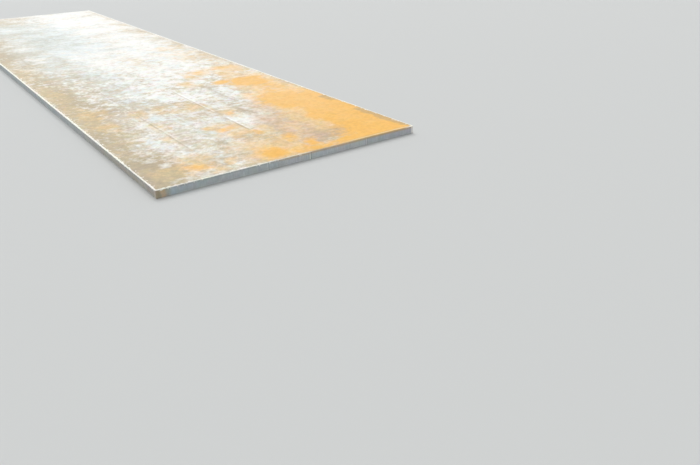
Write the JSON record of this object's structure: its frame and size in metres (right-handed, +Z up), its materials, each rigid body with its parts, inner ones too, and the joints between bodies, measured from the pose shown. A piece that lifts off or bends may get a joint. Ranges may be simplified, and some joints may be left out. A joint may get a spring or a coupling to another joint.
{
  "type": "steel plate",
  "caption": "Thick rectangular hot-rolled steel plate, flame cut on all sides, with weathered mill scale and rust; raw stock for cutting, machining or welding.",
  "frame": {"origin": "centre of the underside, on the surface the plate lies on", "axes": "+X across the width, +Y along the length away from the end with the three restart notches, +Z up out of the upper face"},
  "size_m": [1.5, 6, 0.04],
  "materials": {
    "rolled_steel": "hot-rolled mill scale with a film of rust and matt orange patches; grey flame-cut sides"
  },
  "bodies": {
    "root": {"steel_plate": "rolled_steel"}
  },
  "joints": []
}
